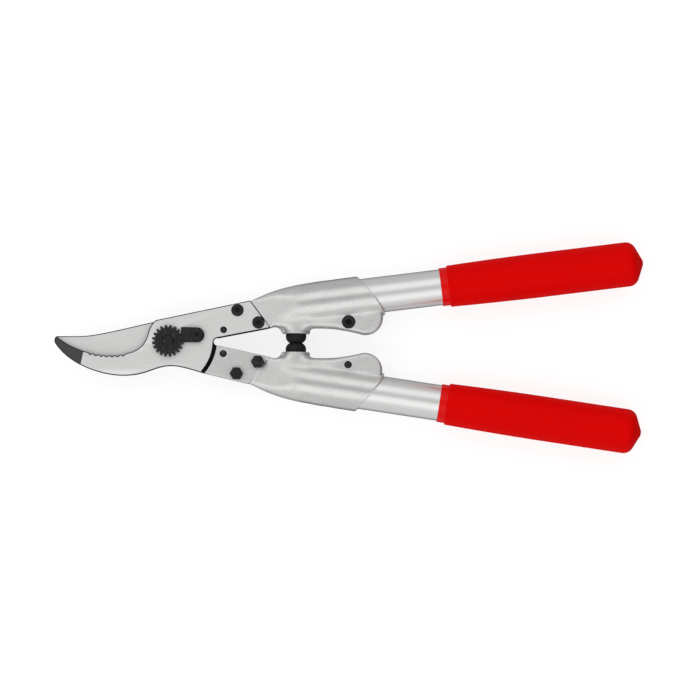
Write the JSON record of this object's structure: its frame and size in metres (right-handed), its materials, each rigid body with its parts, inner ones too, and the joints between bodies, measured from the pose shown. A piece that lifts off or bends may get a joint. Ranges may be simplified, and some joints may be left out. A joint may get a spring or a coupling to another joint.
{
  "type": "two-hand pruning shears",
  "caption": "Two-hand bypass pruning shears with a serrated hook, a curved cutting blade, a toothed pivot nut, clamped aluminium handle tubes and red grips.",
  "frame": {"origin": "on the pivot axis, at the centre of the outer face of the pivot bolt's head", "axes": "+Z along the pivot axis towards the toothed nut, +X from the pivot towards the handles along the middle line of the closed shears, +Y towards the handle that carries the hook"},
  "size_m": [0.3984, 0.1432, 0.0302],
  "materials": {
    "jaw_steel": "satin ground",
    "black_steel": "black oxide, satin",
    "washer_steel": "satin",
    "cast_aluminium": "tumbled satin casting",
    "drawn_aluminium": "drawn satin",
    "red_vinyl": "semi-gloss",
    "black_rubber": "matt"
  },
  "bodies": {
    "hook_side": {"hook": "jaw_steel", "pivot_bolt": "black_steel", "pivot_washer": "washer_steel", "pivot_nut": "black_steel", "locking_segment": "black_steel", "segment_screw": "black_steel", "hook_side_tube": "drawn_aluminium", "hook_side_socket": "cast_aluminium", "hook_side_grip": "red_vinyl", "hook_side_bumper": "black_rubber", "hook_side_clamp_screw": "black_steel", "hook_side_dowel": "black_steel", "hook_side_bolt_front": "black_steel", "hook_side_bolt_rear": "black_steel", "hook_side_nut_front": "black_steel", "hook_side_nut_rear": "black_steel"},
    "blade_side": {"cutting_blade": "jaw_steel", "blade_side_tube": "drawn_aluminium", "blade_side_socket": "cast_aluminium", "blade_side_grip": "red_vinyl", "blade_side_bumper": "black_rubber", "blade_side_clamp_screw": "black_steel", "blade_side_dowel": "black_steel", "blade_side_bolt_front": "black_steel", "blade_side_bolt_rear": "black_steel", "blade_side_nut_front": "black_steel", "blade_side_nut_rear": "black_steel"}
  },
  "joints": [
    {"name": "pivot", "type": "hinge", "parent": "hook_side", "child": "blade_side", "pos_m": [0, 0, 0.0095], "axis": [0, 0, -1], "range_deg": [0, 64]}
  ]
}
